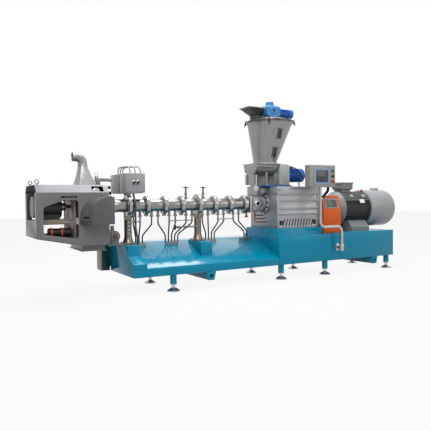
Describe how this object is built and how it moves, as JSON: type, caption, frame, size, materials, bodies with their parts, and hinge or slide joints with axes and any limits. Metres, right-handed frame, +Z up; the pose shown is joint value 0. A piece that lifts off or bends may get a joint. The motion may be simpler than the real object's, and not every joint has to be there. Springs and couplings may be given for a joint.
{
  "type": "twin-screw cooking extruder for breakfast cereal",
  "caption": "Twin-screw cereal extruder on a stepped teal base, with clamped barrel, gearbox, motor, cone hopper feeder, swing-arm panel and a swing-away die cutter.",
  "frame": {"origin": "floor level under the middle of the whole machine's box", "axes": "+X along the barrel from the cutter to the main motor, -Y to the operator's side, +Z up"},
  "size_m": [5.515, 1.227, 2.452],
  "materials": {
    "teal_paint": "satin",
    "stainless": "brushed",
    "cast_silver": "satin",
    "grey_paint": "satin",
    "grey_green_paint": "satin",
    "dark_grey_paint": "satin",
    "pale_grey_paint": "satin",
    "orange_paint": "satin",
    "blue_paint": "gloss",
    "beige_paint": "satin",
    "chrome": "polished",
    "black_rubber": "matte",
    "black_plastic": "matte",
    "grey_plastic": "matte",
    "copper_brass": "satin",
    "dark_screen": "gloss"
  },
  "bodies": {
    "machine": {"agitator_gearbox": "blue_paint", "agitator_motor": "blue_paint", "barrel_clamps": "stainless", "barrel_hoses": "black_rubber", "barrel_sections": "stainless", "base_drive_box": "teal_paint", "base_legs": "teal_paint", "base_low_frame": "teal_paint", "base_pedestals": "teal_paint", "console_body": "orange_paint", "console_screen": "dark_screen", "control_boxes": "grey_paint", "control_conduits": "grey_plastic", "control_knobs": "black_plastic", "coupling_guard": "dark_grey_paint", "cutter_post": "dark_grey_paint", "die_head": "stainless", "die_pump": "grey_paint", "feed_block": "cast_silver", "feed_throat": "stainless", "feeder_drive_box": "pale_grey_paint", "feeder_motor": "blue_paint", "feeder_stand": "blue_paint", "feeder_trough": "stainless", "gearbox_adapter": "cast_silver", "gearbox_housing": "cast_silver", "gearbox_lid": "cast_silver", "hmi_pivot": "stainless", "hopper_lid": "stainless", "hopper_shell": "stainless", "hopper_windows": "dark_screen", "hose_fittings": "dark_grey_paint", "inlet_funnel": "stainless", "levelling_feet": "chrome", "lifting_beams": "teal_paint", "main_motor_body": "dark_grey_paint", "main_motor_cowl": "grey_green_paint", "main_motor_terminal_box": "grey_green_paint", "oil_pipes": "copper_brass", "support_columns": "stainless", "valve_bodies": "stainless"},
    "operator_panel": {"hmi_arm": "stainless", "hmi_panel": "pale_grey_paint", "hmi_screen": "dark_screen", "hmi_buttons": "black_plastic"},
    "cutter": {"cutter_front_panel": "grey_paint", "cutter_rear_panel": "grey_paint", "cutter_roof": "grey_paint", "cutter_floor": "grey_paint", "cutter_end_plates": "grey_paint", "cutter_hood": "grey_paint", "exhaust_duct": "stainless", "roof_cylinder": "stainless", "cutter_motor": "dark_grey_paint", "cutter_carriage": "beige_paint", "cutter_air_tube": "black_plastic", "cutter_hinge_arm": "dark_grey_paint"},
    "cutter_rotor": {"cutter_shaft": "stainless"},
    "front_valve_handle": {"valve_handle_1": "blue_paint"},
    "rear_valve_handle": {"valve_handle_2": "blue_paint"}
  },
  "joints": [
    {"name": "panel_arm_swing", "type": "hinge", "parent": "machine", "child": "operator_panel", "pos_m": [1.3425, -0.5365, 0.428], "axis": [0, 0, 1], "range_deg": [0, 90]},
    {"name": "cutter_swing", "type": "hinge", "parent": "machine", "child": "cutter", "pos_m": [-1.7875, 0.5185, 0.69], "axis": [0, 0, -1], "range_deg": [0, 100]},
    {"name": "cutter_spin", "type": "hinge", "parent": "cutter", "child": "cutter_rotor", "pos_m": [-1.9945, -0.0165, 1.025], "axis": [1, 0, 0], "continuous": true},
    {"name": "front_valve_turn", "type": "hinge", "parent": "machine", "child": "front_valve_handle", "pos_m": [-0.8565, -0.0165, 1.236], "axis": [0, 0, 1], "range_deg": [0, 270]},
    {"name": "rear_valve_turn", "type": "hinge", "parent": "machine", "child": "rear_valve_handle", "pos_m": [-0.6045, -0.0165, 1.236], "axis": [0, 0, 1], "range_deg": [0, 270]}
  ]
}
